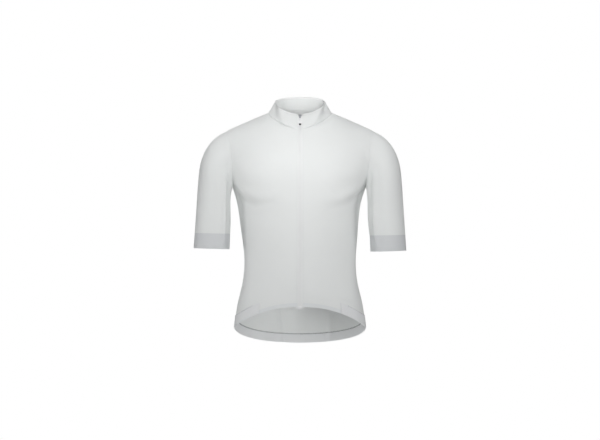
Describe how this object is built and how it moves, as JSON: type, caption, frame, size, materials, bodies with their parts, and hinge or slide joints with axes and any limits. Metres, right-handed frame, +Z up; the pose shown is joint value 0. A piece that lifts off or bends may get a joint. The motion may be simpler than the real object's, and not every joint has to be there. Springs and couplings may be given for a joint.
{
  "type": "cycling jersey",
  "caption": "Short-sleeved full-zip cycling jersey with stand collar and rear pockets, filled out as worn, hollow and open at neck, cuffs and hem.",
  "frame": {"origin": "middle of the neck's base, level with the neck points of the shoulder seams, where the wearer carries the jersey", "axes": "+Z up; the front faces -Y; +X is the viewer's right when looking at the front"},
  "size_m": [0.596, 0.2468, 0.6972],
  "materials": {
    "knit": "white polyester knit, matt",
    "elastic": "pale grey elastic, matt",
    "zip_tape": "woven tape, matt",
    "slider_metal": "white-silver satin",
    "dark_plastic": "black moulded end"
  },
  "bodies": {
    "jersey": {"front_left": "knit", "front_right": "knit", "back": "knit", "sleeve_left": "knit", "sleeve_right": "knit", "cuff_left": "elastic", "cuff_right": "elastic", "collar": "knit", "collar_edge": "elastic", "front_hem_left": "elastic", "front_hem_right": "elastic", "rear_hem": "elastic", "pocket_left": "knit", "pocket_middle": "knit", "pocket_right": "knit", "zip_tape_left": "zip_tape", "zip_tape_right": "zip_tape", "zip_slider": "slider_metal", "zip_box": "slider_metal"},
    "tab": {"pull_tab": "slider_metal", "pull_tab_tip": "dark_plastic"}
  },
  "joints": [
    {"name": "pull_tab_hinge", "type": "hinge", "parent": "jersey", "child": "tab", "pos_m": [0, -0.06748, -0.01251], "axis": [-1, 0, 0], "range_deg": [0, 160]}
  ]
}
